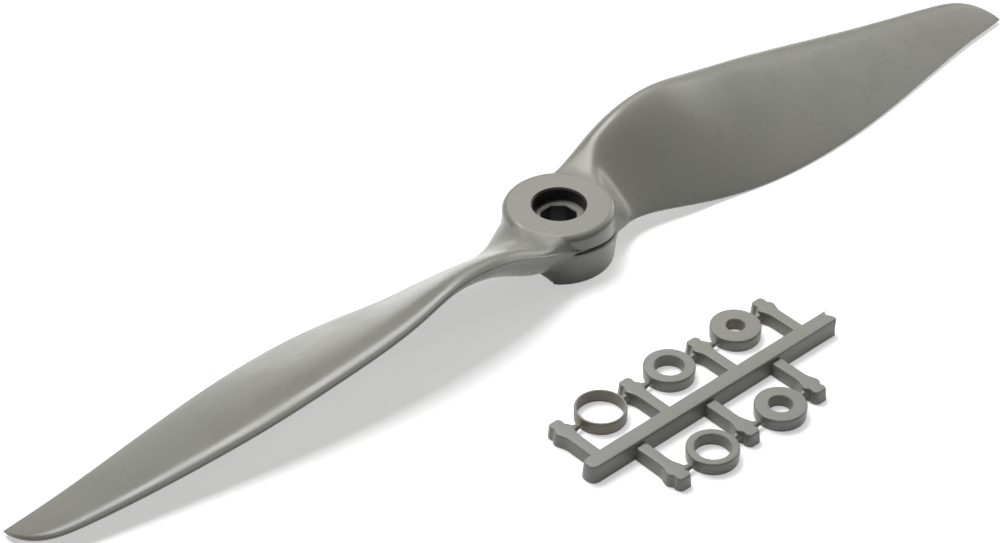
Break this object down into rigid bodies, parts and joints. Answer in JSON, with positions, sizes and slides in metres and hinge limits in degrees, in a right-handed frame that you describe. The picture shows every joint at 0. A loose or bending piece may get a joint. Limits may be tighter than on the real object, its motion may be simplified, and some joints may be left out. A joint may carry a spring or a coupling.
{
  "type": "propeller",
  "caption": "Two-blade moulded propeller for an electric model aircraft, with a recessed hub bore and a sprue of loose adapter rings that size the bore to the shaft.",
  "frame": {"origin": "middle of the set's footprint, on the plane that the hub's rear face and the sprue rest on; the propeller's bore axis stands parallel to Z through x 0, y 23.75 mm", "axes": "+X along the propeller's span, +Y across the span from the sprue to the hub, +Z along the bore axis, out of the hub's front face"},
  "size_m": [0.2286, 0.0732, 0.0157],
  "materials": {
    "propeller_nylon": "satin warm grey glass-filled nylon, as moulded",
    "sprue_nylon": "matt warm grey glass-filled nylon, as moulded",
    "ring_nylon": "matt warm grey glass-filled nylon, as moulded",
    "thin_ring_nylon": "matt grey nylon, slightly brown where the wall is thin"
  },
  "bodies": {
    "propeller": {"propeller": "propeller_nylon"},
    "sprue": {"sprue": "sprue_nylon"},
    "ring_3_2mm": {"adapter_ring_3_2mm": "ring_nylon"},
    "ring_4_0mm": {"adapter_ring_4_0mm": "ring_nylon"},
    "ring_5_0mm": {"adapter_ring_5_0mm": "ring_nylon"},
    "ring_6_0mm": {"adapter_ring_6_0mm": "ring_nylon"},
    "ring_8_0mm": {"adapter_ring_8_0mm": "thin_ring_nylon"}
  },
  "joints": [
    {"name": "sprue_lift", "type": "slide", "parent": "propeller", "child": "sprue", "axis": [0, 0, 1], "range_m": [0, 0.04]},
    {"name": "ring_3_2mm_lift", "type": "slide", "parent": "sprue", "child": "ring_3_2mm", "axis": [0, 0, 1], "range_m": [0, 0.012]},
    {"name": "ring_4_0mm_lift", "type": "slide", "parent": "sprue", "child": "ring_4_0mm", "axis": [0, 0, 1], "range_m": [0, 0.012]},
    {"name": "ring_5_0mm_lift", "type": "slide", "parent": "sprue", "child": "ring_5_0mm", "axis": [0, 0, 1], "range_m": [0, 0.012]},
    {"name": "ring_6_0mm_lift", "type": "slide", "parent": "sprue", "child": "ring_6_0mm", "axis": [0, 0, 1], "range_m": [0, 0.012]},
    {"name": "ring_8_0mm_lift", "type": "slide", "parent": "sprue", "child": "ring_8_0mm", "axis": [0, 0, 1], "range_m": [0, 0.012]}
  ]
}
